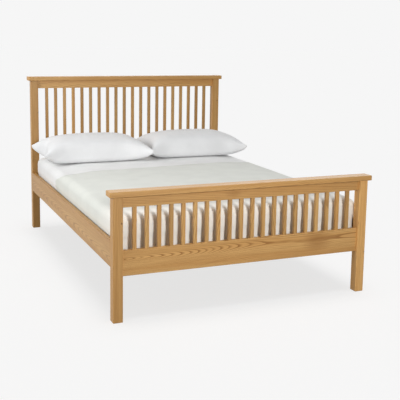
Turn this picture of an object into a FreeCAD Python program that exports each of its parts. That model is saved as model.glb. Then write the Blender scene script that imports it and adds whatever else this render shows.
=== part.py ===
import FreeCAD, Part
import math
import os

# Slatted double bed in oak: a tall head board and a low foot board, each of square posts, two rails
# and a row of square spindles under an overhanging cap, joined by two deep side rails. Sprung slats
# lie on battens and on a centre rail with two legs, and carry a mattress and two pillows.
# Millimetres. +X is to the right seen from the foot, +Y towards the head board, +Z up.
# The origin is on the floor, under the middle of the bed.

os.makedirs("parts", exist_ok=True)

# ---- driving dimensions -------------------------------------------------------------------

# Mattress, and the room left around it
mattress_width = 1350.0
mattress_length = 1900.0
mattress_depth = 187.0        # at its edges
mattress_crown = 13.0         # rise of the top from the edges to the middle
mattress_corner_radius = 75.0
mattress_edge_roll = 24.0     # rounding of the upper edge
mattress_foot_roll = 9.0      # rounding of the lower edge
mattress_crown_start = 70.0   # from the edge to where the top has most of its rise
mattress_crown_flat = 175.0   # from the edge to the flat middle
mattress_side_room = 16.0     # to each side rail
mattress_end_room = 34.0      # to the rails of each board

# Boards at the head and the foot
head_height = 1075.0
foot_height = 648.0
post_size = 50.0
leg_bevel = 2.0               # on the long edges and round the foot of each post and leg
board_rail_thickness = 22.0
top_rail_height = 54.0
bottom_rail_height = 128.0
bottom_rail_floor_gap = 228.0
cap_thickness = 27.0
cap_depth = 72.0
cap_overhang = 18.0           # past the posts at each end
cap_bevel = 2.5
rail_bevel = 1.5
spindles_per_board = 20
spindle_width = 20.0
spindle_thickness = 18.0
spindle_bevel = 1.5

# Side rails
side_rail_thickness = 24.0
side_rail_height = 128.0
side_rail_floor_gap = 270.0

# Mattress base
slat_count = 14
slat_width = 70.0
slat_thickness = 18.0
slat_drop = 73.0              # from the top of the side rails down to the top of the slats
slat_end_play = 6.0           # between a slat's end and the side rail
slat_field_margin = 30.0      # from the posts to the first and the last slat
batten_width = 26.0
batten_height = 30.0
batten_end_room = 10.0
centre_rail_width = 32.0
centre_rail_height = 60.0
centre_leg_size = 45.0
centre_leg_offset = 285.0     # each leg from the middle of the bed
hanger_plate = 2.5
hanger_reach = 30.0
hanger_wing = 16.0            # plate to each side of the cradle
hanger_cheek = 42.0
hanger_screw_radius = 2.5
hanger_play = 0.5

# Joints in the timber
mortise_play = 0.2            # round a tenon
mortise_room = 1.0            # past a tenon's end
rail_tenon_thickness = 10.0
rail_tenon_length = 25.0
rail_tenon_shoulder = 10.0
spindle_tenon_width = 12.0
spindle_tenon_thickness = 10.0
spindle_tenon_length = 12.0
dowel_radius = 4.0
dowel_length = 36.0
dowel_play = 0.1
side_dowel_inset = 24.0       # from the side rail's upper and lower edges
stub_tenon_size = 20.0        # on top of each post and centre leg
stub_tenon_length = 14.0
bolt_radius = 4.0
bolt_play = 0.2
bolt_in_post = 30.0
bolt_past_nut = 5.0
bolt_height = 72.0            # above the side rail's lower edge
pocket_radius = 14.0          # round recess for the washer and the nut
pocket_offset = 60.0          # from the rail's end to the recess's centre
pocket_floor = 5.0            # timber left behind the recess
washer_play = 0.2
washer_thickness = 6.0
washer_width = 13.0
nut_across_flats = 13.0
nut_thickness = 6.5

# Pillows
pillow_width = 730.0
pillow_depth = 490.0
pillow_thickness = 165.0
pillow_seam_height = 72.0     # above the mattress
pillow_crown_inset = 150.0    # from the seam to the edge of the crown
pillow_under_inset = 90.0     # from the seam in towards the part that lies flat
pillow_seam_slope = 34.0
pillow_corner_radius = 12.0   # at the seam
pillow_corner_spread = 62.0   # added by the crown
pillow_draw_in = 0.045        # dip of each side, as a share of half its length
pillow_lie_angle = 62.0       # turn from the seam down to the part that lies flat
pillow_top_angle = 80.0       # turn from the seam up to the edge of the crown
pillow_rings_below = 5        # between the flat part and the seam
pillow_rings_above = 8        # between the seam and the crown
pillow_steps = 5              # round each corner, and along each side
pillow_head_gap = 45.0        # from the head board's rails to the pillow's back corners
pillow_gap = 4.0              # between the two pillows
lay_gap = 0.3                 # between a soft piece and what it lies on

# ---- worked out ---------------------------------------------------------------------------

inner_width = mattress_width + 2 * mattress_side_room
frame_width = inner_width + 2 * side_rail_thickness
inner_length = mattress_length + 2 * mattress_end_room
board_line = inner_length / 2 + board_rail_thickness / 2
post_line = frame_width / 2 - post_size / 2
rail_length = 2 * (board_line - post_size / 2)
board_span = frame_width - 2 * post_size
side_rail_line = frame_width / 2 - side_rail_thickness / 2
side_rail_top = side_rail_floor_gap + side_rail_height
slat_top = side_rail_top - slat_drop
slat_bottom = slat_top - slat_thickness
bottom_rail_top = bottom_rail_floor_gap + bottom_rail_height
mattress_bottom = slat_top + lay_gap
mattress_top = mattress_bottom + mattress_depth + mattress_crown
pocket_line = rail_length / 2 - pocket_offset
bolt_z = side_rail_floor_gap + bolt_height
BOARDS = (("head", 1, head_height), ("foot", -1, foot_height))
SIDES = (("left", -1), ("right", 1))
ENDS = (1, -1)


# ---- helpers ------------------------------------------------------------------------------

def vec(x, y, z):
    return FreeCAD.Vector(x, y, z)


def block(centre, size):
    """A box of the given size about its centre."""
    corner = vec(*centre) - vec(*size) / 2
    return Part.makeBox(size[0], size[1], size[2], corner)


def bar(centre, size, low, high):
    """An upright bar of section size about a point in plan, from height low to height high."""
    return block((centre[0], centre[1], (low + high) / 2), (size[0], size[1], high - low))


def edges_along(shape, direction):
    """The straight edges of a shape that run in a direction."""
    found = []
    for edge in shape.Edges:
        run = edge.lastVertex().Point - edge.firstVertex().Point
        if run.Length > 0 and run.cross(direction).Length < 1e-6 * run.Length:
            found.append(edge)
    return found


def rod(start, direction, length, radius):
    return Part.makeCylinder(radius, length, start, direction)


def save(name, shape):
    shape.exportStep("parts/" + name + ".step")


# ---- posts, rails and caps ----------------------------------------------------------------

def post_centre(side, end):
    return (side * post_line, end * board_line)


def side_rail_fastenings(side, end):
    """Where one side rail's end meets its post: the dowels' centres and the bolt's, on the joint."""
    x = side * side_rail_line
    y = end * rail_length / 2
    dowel_heights = (side_rail_floor_gap + side_dowel_inset, side_rail_top - side_dowel_inset)
    return [vec(x, y, z) for z in dowel_heights], vec(x, y, bolt_z)


def rail_levels(height):
    """The lower and upper edge of a board's bottom rail and of its top rail."""
    under_cap = height - cap_thickness
    bottom = (bottom_rail_floor_gap, bottom_rail_top)
    return bottom, (under_cap - top_rail_height, under_cap)


def tenon(side, end, low, high, play):
    """A rail's tenon in a post, or its mortise when play is given."""
    reach = rail_tenon_length + (mortise_room if play else 0)
    inner_face = side * board_span / 2
    size = (reach, rail_tenon_thickness + 2 * play, high - low - 2 * rail_tenon_shoulder + 2 * play)
    return block((inner_face + side * reach / 2, end * board_line, (low + high) / 2), size)


def stub_tenon(place, z, play):
    """The square tenon on top of a post or leg, or its mortise when play is given."""
    size = stub_tenon_size + 2 * play
    return bar(place, (size, size), z, z + stub_tenon_length + (mortise_room if play else 0))


def standing_bar(place, section, top):
    """A square leg from the floor up, bevelled along its edges and round its foot, with a tenon on top."""
    shape = bar(place, (section, section), 0, top)
    base = min(shape.Faces, key=lambda face: face.CenterOfMass.z)
    shape = shape.makeChamfer(leg_bevel, edges_along(shape, vec(0, 0, 1)) + base.Edges)
    return shape.fuse(stub_tenon(place, top, 0))


def post(side, end, height):
    shape = standing_bar(post_centre(side, end), post_size, height - cap_thickness)
    for low, high in rail_levels(height):
        shape = shape.cut(tenon(side, end, low, high, mortise_play))
    dowels, bolt = side_rail_fastenings(side, end)
    outwards = vec(0, end, 0)
    for centre in dowels:
        depth = dowel_length / 2 + mortise_room
        shape = shape.cut(rod(centre, outwards, depth, dowel_radius + dowel_play))
    return shape.cut(rod(bolt, outwards, bolt_in_post + mortise_room, bolt_radius + bolt_play))


def cap(end, height):
    size = (frame_width + 2 * cap_overhang, cap_depth, cap_thickness)
    shape = block((0, end * board_line, height - cap_thickness / 2), size)
    shape = shape.makeChamfer(cap_bevel, shape.Edges)
    for _, side in SIDES:
        shape = shape.cut(stub_tenon(post_centre(side, end), height - cap_thickness, mortise_play))
    return shape


def spindle_places():
    """The spindles' centres along a board, evenly spaced between the posts."""
    pitch = board_span / (spindles_per_board + 1)
    return [-board_span / 2 + pitch * (n + 1) for n in range(spindles_per_board)]


def spindle_mortises(end, face_z, up):
    """The row of mortises in the edge of a rail, going up or down from its face."""
    depth = spindle_tenon_length + mortise_room
    size = (spindle_tenon_width + 2 * mortise_play, spindle_tenon_thickness + 2 * mortise_play, depth)
    centre_z = face_z + up * depth / 2
    return [block((x, end * board_line, centre_z), size) for x in spindle_places()]


def board_rail(end, low, high, mortise_face, up):
    """A rail of a board, with a tenon at each end and a row of mortises in one edge."""
    shape = block((0, end * board_line, (low + high) / 2), (board_span, board_rail_thickness, high - low))
    shape = shape.makeChamfer(rail_bevel, edges_along(shape, vec(1, 0, 0)))
    for _, side in SIDES:
        shape = shape.fuse(tenon(side, end, low, high, 0))
    return shape.cut(spindle_mortises(end, mortise_face, up))


def spindle(x, end, low, high):
    """A square spindle with a stub tenon at each end."""
    place = (x, end * board_line)
    shape = bar(place, (spindle_width, spindle_thickness), low, high)
    shape = shape.makeChamfer(spindle_bevel, edges_along(shape, vec(0, 0, 1)))
    section = (spindle_tenon_width, spindle_tenon_thickness)
    return shape.fuse(bar(place, section, low - spindle_tenon_length, high + spindle_tenon_length))


# ---- side rails and their fastenings ------------------------------------------------------

def pocket_centre(side, end):
    return vec(side * side_rail_line, end * pocket_line, bolt_z)


def side_rail(side):
    size = (side_rail_thickness, rail_length, side_rail_height)
    shape = block((side * side_rail_line, 0, side_rail_floor_gap + side_rail_height / 2), size)
    shape = shape.makeChamfer(rail_bevel, edges_along(shape, vec(0, 1, 0)))
    inner_face = side * inner_width / 2
    for end in ENDS:
        dowels, bolt = side_rail_fastenings(side, end)
        inwards = vec(0, -end, 0)
        for centre in dowels:
            depth = dowel_length / 2 + mortise_room
            shape = shape.cut(rod(centre, inwards, depth, dowel_radius + dowel_play))
        shape = shape.cut(rod(bolt, inwards, pocket_offset, bolt_radius + bolt_play))
        mouth = vec(inner_face, end * pocket_line, bolt_z)
        depth = side_rail_thickness - pocket_floor
        shape = shape.cut(rod(mouth, vec(side, 0, 0), depth, pocket_radius))
    return shape


def washer_flat():
    """How far the washer's flat face lies from the recess's centre, towards the post."""
    return pocket_radius - washer_play - washer_thickness


def rail_bolt(side, end):
    """A stud from inside the post to just past the nut."""
    start = vec(side * side_rail_line, end * (rail_length / 2 + bolt_in_post), bolt_z)
    tip = pocket_line + washer_flat() - nut_thickness - bolt_past_nut
    return rod(start, vec(0, -end, 0), abs(start.y) - tip, bolt_radius)


def half_moon_washer(side, end):
    """A slice of a disc: its round side follows the recess and its flat side takes the nut."""
    centre = pocket_centre(side, end)
    axis = vec(1, 0, 0)
    start = centre - axis * (washer_width / 2)
    disc = rod(start, axis, washer_width, pocket_radius - washer_play)
    slab_depth = pocket_radius
    slab_y = centre.y + end * (washer_flat() + slab_depth / 2)
    slab = block((centre.x, slab_y, centre.z), (washer_width, slab_depth, 2 * pocket_radius))
    hole = rod(centre, vec(0, end, 0), pocket_radius, bolt_radius + bolt_play)
    return disc.common(slab).cut(hole)


def bolt_nut(side, end):
    centre = pocket_centre(side, end)
    corner_radius = nut_across_flats / math.sqrt(3)
    face = centre + vec(0, end * washer_flat(), 0)
    corners = [math.radians(60 * n + 30) for n in range(6)]
    outline = [face + vec(corner_radius * math.cos(a), 0, corner_radius * math.sin(a)) for a in corners]
    hexagon = Part.Face(Part.makePolygon(outline + outline[:1]))
    shape = hexagon.extrude(vec(0, -end * nut_thickness, 0))
    return shape.cut(rod(face, vec(0, -end, 0), nut_thickness, bolt_radius + bolt_play))


def dowels():
    """Two in each end of each side rail, half in the rail and half in the post."""
    solids = []
    for end in ENDS:
        for _, side in SIDES:
            for centre in side_rail_fastenings(side, end)[0]:
                start = centre - vec(0, dowel_length / 2, 0)
                solids.append(rod(start, vec(0, 1, 0), dowel_length, dowel_radius))
    return solids


# ---- mattress base ------------------------------------------------------------------------

def batten(side):
    """The strip along a side rail's inner face that the slats lie on."""
    x = side * (inner_width / 2 - batten_width / 2)
    size = (batten_width, rail_length - 2 * batten_end_room, batten_height)
    shape = block((x, 0, slat_bottom - batten_height / 2), size)
    inner_lower = [edge for edge in edges_along(shape, vec(0, 1, 0))
                   if abs(edge.CenterOfMass.x) < abs(x) and edge.CenterOfMass.z < slat_bottom - 1]
    return shape.makeChamfer(rail_bevel, inner_lower)


def slat(number):
    field = rail_length - 2 * slat_field_margin
    pitch = (field - slat_width) / (slat_count - 1)
    y = -(field - slat_width) / 2 + pitch * number
    size = (inner_width - 2 * slat_end_play, slat_width, slat_thickness)
    shape = block((0, y, slat_bottom + slat_thickness / 2), size)
    upper = [edge for edge in edges_along(shape, vec(1, 0, 0)) if edge.CenterOfMass.z > slat_top - 1]
    return shape.makeChamfer(rail_bevel, upper)


def centre_rail():
    length = inner_length - 2 * (hanger_plate + hanger_play)
    size = (centre_rail_width, length, centre_rail_height)
    shape = block((0, 0, slat_bottom - centre_rail_height / 2), size)
    for end in ENDS:
        mortise = stub_tenon((0, end * centre_leg_offset), slat_bottom - centre_rail_height, mortise_play)
        shape = shape.cut(mortise)
    return shape


def centre_leg(end):
    return standing_bar((0, end * centre_leg_offset), centre_leg_size, slat_bottom - centre_rail_height)


def hanger(end):
    """A bent steel cradle on a bottom rail's inner face, holding the end of the centre rail."""
    face_y = inner_length / 2
    cradle_width = centre_rail_width + 2 * (hanger_play + hanger_plate)
    floor_z = slat_bottom - centre_rail_height - hanger_play
    top_z = floor_z + hanger_cheek
    plate_width = cradle_width + 2 * hanger_wing
    low_z = floor_z - hanger_plate
    plate = block((0, end * (face_y - hanger_plate / 2), (low_z + top_z) / 2),
                  (plate_width, hanger_plate, top_z - low_z))
    reach_y = end * (face_y - hanger_plate - hanger_reach / 2)
    shape = plate.fuse(block((0, reach_y, floor_z - hanger_plate / 2),
                             (cradle_width, hanger_reach, hanger_plate)))
    for _, side in SIDES:
        x = side * (cradle_width - hanger_plate) / 2
        shape = shape.fuse(block((x, reach_y, (low_z + top_z) / 2),
                                 (hanger_plate, hanger_reach, top_z - low_z)))
    shape = shape.removeSplitter()
    for _, side in SIDES:
        hole = vec(side * (plate_width - hanger_wing) / 2, end * face_y, (low_z + top_z) / 2)
        shape = shape.cut(rod(hole, vec(0, -end, 0), hanger_plate, hanger_screw_radius))
    return shape


# ---- soft pieces --------------------------------------------------------------------------

def rounded_outline(half_x, half_y, radius, z):
    """A rectangle with round corners, flat at height z, about the Z axis."""
    turn = radius * (1 - math.sqrt(0.5))
    edges = []
    for sx, sy in ((1, 1), (-1, 1), (-1, -1), (1, -1)):
        on_y = vec(sx * (half_x - radius), sy * half_y, z)
        on_x = vec(sx * half_x, sy * (half_y - radius), z)
        middle = vec(sx * (half_x - turn), sy * (half_y - turn), z)
        pair = (on_x, on_y) if sx * sy > 0 else (on_y, on_x)
        edges.append((pair[0], middle, pair[1]))
    path = []
    for n, (start, middle, stop) in enumerate(edges):
        path.append(Part.Arc(start, middle, stop).toShape())
        path.append(Part.LineSegment(stop, edges[(n + 1) % 4][0]).toShape())
    return Part.Wire(path)


def mattress():
    """A flat-bottomed pad with upright sides, a rolled upper edge and a low crown."""
    roll = mattress_edge_roll
    foot_roll = mattress_foot_roll
    sections = [(foot_roll, 0), (0.25 * foot_roll, 0.75 * foot_roll), (0, 2 * foot_roll)]
    sections.append((0, mattress_depth - roll))
    for angle in (30, 60, 84):
        turn = math.radians(angle)
        inset = roll * (1 - math.cos(turn))
        sections.append((inset, mattress_depth - roll * (1 - math.sin(turn))))
    sections.append((mattress_crown_start, mattress_depth + 0.62 * mattress_crown))
    sections.append((mattress_crown_flat, mattress_depth + mattress_crown))
    wires = []
    for inset, height in sections:
        wires.append(rounded_outline(mattress_width / 2 - inset, mattress_length / 2 - inset,
                                     mattress_corner_radius, mattress_bottom + height))
    return Part.makeLoft(wires, True, True)


def pillow_outline(half_x, half_y, corner, place, z):
    """Sides that draw in between rounded corners, at height z; their steps keep their directions."""
    centres = ((half_x - corner, half_y - corner), (corner - half_x, half_y - corner),
               (corner - half_x, corner - half_y), (half_x - corner, corner - half_y))
    points = []
    for quarter, (x, y) in enumerate(centres):
        middle = vec(place[0] + x, place[1] + y, z)
        for step in range(pillow_steps + 1):
            angle = math.radians(90 * (quarter + step / pillow_steps))
            points.append(middle + vec(math.cos(angle), math.sin(angle), 0) * corner)
        outward = vec(math.cos(angle), math.sin(angle), 0)
        half_side = (half_x, half_y)[quarter % 2] - corner
        along = vec(-outward.y, outward.x, 0) * (2 * half_side / pillow_steps)
        for step in range(1, pillow_steps):
            share = step / pillow_steps
            dip = 4 * share * (1 - share) * pillow_draw_in * half_side
            points.append(middle + outward * (corner - dip) + along * step)
    return points


def facet(points):
    return Part.Face(Part.makePolygon(points + points[:1]))


def skin(rings):
    """A closed solid of flat facets over a stack of rings with as many points each."""
    facets = [facet(rings[0]), facet(rings[-1])]
    for lower, upper in zip(rings, rings[1:]):
        for n in range(len(lower)):
            facets.append(facet([lower[n - 1], lower[n], upper[n], upper[n - 1]]))
    return Part.makeSolid(Part.makeShell(facets))


def pillow(side):
    """A plump pillow: a seam all round with pointed corners, a full crown, flat where it lies."""
    low = mattress_top + lay_gap
    place = (side * (pillow_width + pillow_gap) / 2, inner_length / 2 - pillow_head_gap - pillow_depth / 2)
    below = [-pillow_lie_angle * (1 - n / pillow_rings_below) for n in range(pillow_rings_below)]
    above = [pillow_top_angle * n / pillow_rings_above for n in range(pillow_rings_above + 1)]
    rings = []
    for angle in below + above:
        swing = math.radians(angle)
        if angle < 0:
            share_down = math.sin(-swing) / math.sin(math.radians(pillow_lie_angle))
            height = pillow_seam_height * (1 - share_down)
            inset = pillow_under_inset * (1 - math.cos(swing))
        else:
            height = pillow_seam_height + (pillow_thickness - pillow_seam_height) * math.sin(swing)
            inset = pillow_crown_inset * (1 - math.cos(swing))
        inset += pillow_seam_slope * abs(math.sin(swing))
        corner = pillow_corner_radius + pillow_corner_spread * abs(math.sin(swing))
        rings.append(pillow_outline(pillow_width / 2 - inset, pillow_depth / 2 - inset, corner, place,
                                    low + height))
    return skin(rings)


# ---- build --------------------------------------------------------------------------------

for board, end, height in BOARDS:
    (low, high), (upper_low, upper_high) = rail_levels(height)
    save(board + "_bottom_rail", board_rail(end, low, high, high, -1))
    save(board + "_top_rail", board_rail(end, upper_low, upper_high, upper_low, 1))
    save(board + "_cap", cap(end, height))
    for side_name, side in SIDES:
        save(board + "_post_" + side_name, post(side, end, height))

foot_under_rail = rail_levels(foot_height)[1][0]
for number, x in enumerate(spindle_places()):
    save("foot_spindle_%02d" % (number + 1), spindle(x, -1, bottom_rail_top, foot_under_rail))
head_under_rail = rail_levels(head_height)[1][0]
head_row = [spindle(x, 1, bottom_rail_top, head_under_rail) for x in spindle_places()]
save("head_spindles", Part.makeCompound(head_row))

for side_name, side in SIDES:
    save("side_rail_" + side_name, side_rail(side))
    save("slat_batten_" + side_name, batten(side))
    save("pillow_" + side_name, pillow(side))

for number in range(slat_count):
    save("slat_%02d" % (number + 1), slat(number))

corners = [(side, end) for _, side in SIDES for end in ENDS]
save("rail_bolts", Part.makeCompound([rail_bolt(side, end) for side, end in corners]))
save("half_moon_washers", Part.makeCompound([half_moon_washer(side, end) for side, end in corners]))
save("bolt_nuts", Part.makeCompound([bolt_nut(side, end) for side, end in corners]))
save("dowels", Part.makeCompound(dowels()))
save("centre_rail", centre_rail())
save("centre_rail_hangers", Part.makeCompound([hanger(end) for end in ENDS]))
save("centre_leg_head", centre_leg(1))
save("centre_leg_foot", centre_leg(-1))
save("mattress", mattress())
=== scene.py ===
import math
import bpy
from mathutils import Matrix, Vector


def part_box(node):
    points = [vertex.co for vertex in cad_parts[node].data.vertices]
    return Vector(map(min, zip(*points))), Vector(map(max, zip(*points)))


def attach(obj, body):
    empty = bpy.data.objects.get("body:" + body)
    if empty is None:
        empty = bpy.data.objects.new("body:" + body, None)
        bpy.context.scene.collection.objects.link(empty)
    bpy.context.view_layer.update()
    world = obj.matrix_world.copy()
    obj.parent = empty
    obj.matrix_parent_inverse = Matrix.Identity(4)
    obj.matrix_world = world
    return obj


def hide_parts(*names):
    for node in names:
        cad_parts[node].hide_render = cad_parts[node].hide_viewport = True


bl_info = {
    "name": "Slatted bed",
    "version": (1, 0, 0),
    "blender": (4, 5, 0),
    "location": "3D View > Sidebar > Bed",
    "description": "Finishes a slatted oak bed and makes its screws, mattress, bedding and pillows",
    "category": "Object",
}

import bmesh
import bpy
from bpy.props import FloatProperty, FloatVectorProperty, IntProperty, PointerProperty
from mathutils import Matrix, Vector, noise

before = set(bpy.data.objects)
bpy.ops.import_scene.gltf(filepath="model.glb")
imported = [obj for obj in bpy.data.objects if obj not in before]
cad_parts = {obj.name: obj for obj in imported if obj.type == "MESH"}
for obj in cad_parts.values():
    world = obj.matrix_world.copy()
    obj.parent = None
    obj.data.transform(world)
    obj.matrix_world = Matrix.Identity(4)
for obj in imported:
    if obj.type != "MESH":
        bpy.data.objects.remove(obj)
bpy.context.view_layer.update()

MM = 0.001
TAU = 2 * math.pi


# ---- what the frame says

def middle(low, high):
    return (low + high) / 2


MATTRESS_LOW, MATTRESS_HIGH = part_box("mattress")
SIDE_RAIL_LOW, SIDE_RAIL_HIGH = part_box("side_rail_left")
BATTEN_LOW, BATTEN_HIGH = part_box("slat_batten_left")
FOOT_RAIL_LOW, FOOT_RAIL_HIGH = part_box("foot_bottom_rail")
HEAD_RAIL_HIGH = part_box("head_bottom_rail")[1]
FIRST_SPINDLE = middle(*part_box("foot_spindle_01"))
SECOND_SPINDLE = middle(*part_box("foot_spindle_02"))
SLATS = [name for name in sorted(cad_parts) if name.startswith("slat_") and "batten" not in name]
FOOT_SPINDLES = [name for name in sorted(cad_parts) if name.startswith("foot_spindle_")]


# ---- settings

def srgb(red, green, blue):
    """A colour as it is seen, 0 to 255, in the linear values that shaders use."""
    shares = [value / 255 for value in (red, green, blue)]
    return tuple(s / 12.92 if s <= 0.04045 else ((s + 0.055) / 1.055) ** 2.4 for s in shares)


def colour(name, description, value):
    return FloatVectorProperty(name=name, description=description, subtype="COLOR", size=3,
                               min=0, max=1, default=srgb(*value))


def amount(name, description, value, **limits):
    return FloatProperty(name=name, description=description, default=value, **limits)


def length(name, description, value):
    return amount(name, description, value, unit="LENGTH")


class TimberSettings(bpy.types.PropertyGroup):
    oak: colour("Oak", "Plain oak between its growth rings", (190, 143, 83))
    oak_ring: colour("Oak rings", "The darker, porous start of each ring", (146, 100, 49))
    oak_pale: colour("Oak pale", "Paler streaks in the oak", (209, 167, 106))
    pine: colour("Pine", "Plain pine between its rings", (226, 198, 150))
    pine_ring: colour("Pine rings", "The resinous end of each ring", (196, 150, 92))
    pine_pale: colour("Pine pale", "Paler streaks in the pine", (236, 216, 176))
    beech: colour("Beech", "Dowels", (206, 170, 130))
    knot: colour("Knot", "The heart of a knot", (84, 50, 26))
    oak_ring_width: length("Oak ring width", "From one growth ring to the next", 3.6 * MM)
    pine_ring_width: length("Pine ring width", "From one growth ring to the next", 4.5 * MM)
    lacquer_roughness: amount("Lacquer roughness", "How dull the satin lacquer is", 0.42, min=0, max=1)


class FixingSettings(bpy.types.PropertyGroup):
    zinc: colour("Zinc", "Bright zinc plate on screws, studs and cradles", (186, 188, 190))
    zinc_dull: colour("Dull zinc", "Patches of duller plate", (150, 148, 140))
    head_radius: length("Screw head radius", "Of the countersunk screws", 4.2 * MM)
    recess_width: length("Recess width", "Across the cross in a screw's head", 4.6 * MM)
    recess_depth: length("Recess depth", "Of the cross in a screw's head", 1.6 * MM)
    batten_screws: IntProperty(name="Batten screws", description="In each batten", default=8, min=2)
    slat_screw_inset: length("Slat screw inset", "From a slat's end to its screw", 13 * MM)


class BeddingSettings(bpy.types.PropertyGroup):
    sheet: colour("Fitted sheet", "White cotton", (244, 244, 243))
    cover: colour("Top sheet", "Ivory cotton", (229, 231, 224))
    # painted light: a brighter, warmer tone for the top sheet's foot end, standing in for the light that
    # reaches it past the foot board and bounces off the oak
    cover_foot: colour("Top sheet at the foot", "Its creamier foot end", (238, 236, 229))
    pillowcase: colour("Pillowcases", "White cotton", (248, 249, 250))
    ticking: colour("Ticking", "Woven cover of the mattress", (228, 226, 218))
    edge_roll: length("Edge roll", "Rounding of the mattress's upper edge", 44 * MM)
    corner_radius: length("Corner radius", "Of the mattress in plan", 20 * MM)
    under_clearance: length("Under clearance", "Room for the sheets below the mattress", 3.4 * MM)
    sheet_thickness: length("Sheet thickness", "Of one layer of cotton", 0.7 * MM)
    cover_edge: length("Top sheet edge", "From the bed's middle to the top sheet's head edge", 265 * MM)
    cover_skew: amount("Top sheet skew", "Slope of that edge across the bed", 0.078)
    cover_flare: length("Top sheet flare", "How far the tucked edge runs on towards the head", 156 * MM)
    pillow_width: length("Pillow width", "Of the empty pillowcase", 758 * MM)
    pillow_depth: length("Pillow depth", "Of the empty pillowcase", 512 * MM)
    pillow_volume: amount("Pillow volume", "Filling, in cubic metres", 0.041)
    pillow_rise: length("Pillow rise", "How far the crown stands above its plain solid", 14 * MM)
    pillow_fullness: amount("Pillow fullness", "Below 1, the filling reaches the ends", 0.60)
    corner_height: length("Pillow corner height", "How high the sewn corners stand", 74 * MM)
    pillow_overlap: length("Pillow overlap", "How far the left pillow reaches past the right's end", 22 * MM)
    pillow_setback: length("Pillow setback", "How much further back the right pillow lies", 28 * MM)


class StageSettings(bpy.types.PropertyGroup):
    backdrop: colour("Backdrop", "Floor and background as the camera sees them", (246, 246, 246))
    dome: amount("Dome", "Light from all round", 0.17)
    front_lamp: amount("Front lamp", "Power of the lamp beyond the foot", 51)
    left_lamp: amount("Left lamp", "Power of the wide panel on the left", 114)
    top_lamp: amount("Top lamp", "Strength of the wide lamp overhead", 0.30)
    right_lamp: amount("Right lamp", "Strength of the wide lamp on the right", 0.5)
    back_lamp: amount("Back lamp", "Strength of the wide lamp behind", 0.9)
    floor_lamp: amount("Floor lamp", "Overhead, on the floor alone", 1.1)
    camera_place: FloatVectorProperty(name="Camera place", description="Where the camera stands", size=3,
                                      unit="LENGTH", default=(-1.7442, -4.4968, 1.3962))
    camera_heading: amount("Camera heading", "Degrees to the right of the bed's length", 22.92)
    camera_tilt: amount("Camera tilt", "Degrees below level", 8.68)
    camera_roll: amount("Camera roll", "Degrees", 0.90)
    camera_lens: amount("Lens", "Focal length in millimetres", 70.38)
    camera_shift: amount("Shift", "Upward shift of the view", -0.12)


# ---- node trees

def joined(operation, swapped=False):
    """A method of Value that adds a Math node; swapped is for a plain number on the left."""
    def method(self, *others):
        values = (*others, self) if swapped else (self, *others)
        return self.graph.node("Math", {"operation": operation}, dict(enumerate(values)))
    return method


class Value:
    """The output of a node, which can be used in sums; each operator adds a Math node."""

    def __init__(self, graph, socket):
        self.graph = graph
        self.socket = socket

    __add__ = joined("ADD")
    __radd__ = joined("ADD", swapped=True)
    __sub__ = joined("SUBTRACT")
    __rsub__ = joined("SUBTRACT", swapped=True)
    __mul__ = joined("MULTIPLY")
    __rmul__ = joined("MULTIPLY", swapped=True)
    __truediv__ = joined("DIVIDE")
    __gt__ = joined("GREATER_THAN")
    floor = joined("FLOOR")
    fraction = joined("FRACT")
    root = joined("SQRT")
    least = joined("MINIMUM")
    most = joined("MAXIMUM")
    soft_least = joined("SMOOTH_MIN")

    def ramp(self, low, high, to_low=0.0, to_high=1.0):
        """Goes from to_low to to_high, smoothly, as the value goes from low to high."""
        inputs = {"Value": self, "From Min": low, "From Max": high, "To Min": to_low, "To Max": to_high}
        return self.graph.node("MapRange", {"interpolation_type": "SMOOTHSTEP"}, inputs)

    def other(self, name):
        """Another output of the same node."""
        return Value(self.graph, self.socket.node.outputs[name])


class Graph:
    """A node tree under construction; family is what the types of its nodes begin with."""

    def __init__(self, tree, family="ShaderNode"):
        self.tree = tree
        self.family = family
        tree.nodes.clear()

    def node(self, kind, settings=None, inputs=None, output=0):
        """Adds a node: its settings come first, then the values or links of its sockets."""
        node = self.tree.nodes.new(self.family + kind)
        for key, value in (settings or {}).items():
            setattr(node, key, value)
        for key, value in (inputs or {}).items():
            if isinstance(value, Value):
                self.tree.links.new(value.socket, node.inputs[key])
            else:
                node.inputs[key].default_value = value
        return Value(self, node.outputs[output]) if len(node.outputs) else None


class Paint(Graph):
    """A material under construction."""

    def __init__(self, name):
        self.material = bpy.data.materials.new(name)
        self.material.use_nodes = True
        super().__init__(self.material.node_tree)

    def point(self):
        """The point on the object."""
        return self.node("TexCoord", output="Object")

    def split(self, vector):
        x = self.node("SeparateXYZ", inputs={0: vector})
        return x, x.other("Y"), x.other("Z")

    def vector(self, x, y, z):
        return self.node("CombineXYZ", inputs={0: x, 1: y, 2: z})

    def noise(self, vector, scale=1.0, detail=2.0, roughness=0.5):
        inputs = {"Vector": vector, "Scale": scale, "Detail": detail, "Roughness": roughness}
        return self.node("TexNoise", inputs=inputs, output="Fac")

    def chance(self, value):
        """A random share that belongs to a whole number."""
        return self.node("TexWhiteNoise", {"noise_dimensions": "1D"}, {"W": value})

    def mix(self, factor, low, high, blend="MIX"):
        """Mixes two colours."""
        settings = {"data_type": "RGBA", "blend_type": blend}
        inputs = {0: factor, 6: self.tinted(low), 7: self.tinted(high)}
        return self.node("Mix", settings, inputs, output=2)

    def tinted(self, value):
        return value if isinstance(value, Value) else (*tuple(value)[:3], 1.0)

    def bump(self, height, distance, strength=1.0, **below):
        inputs = {"Height": height, "Distance": distance, "Strength": strength, **below}
        return self.node("Bump", inputs=inputs)

    def surface(self, **sockets):
        """Ends the material with a Principled shader; names have underscores for spaces."""
        inputs = {name.replace("_", " "): value for name, value in sockets.items()}
        shader = self.node("BsdfPrincipled", inputs=inputs)
        self.node("OutputMaterial", inputs={"Surface": shader})
        return self.material


# ---- timber

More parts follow.
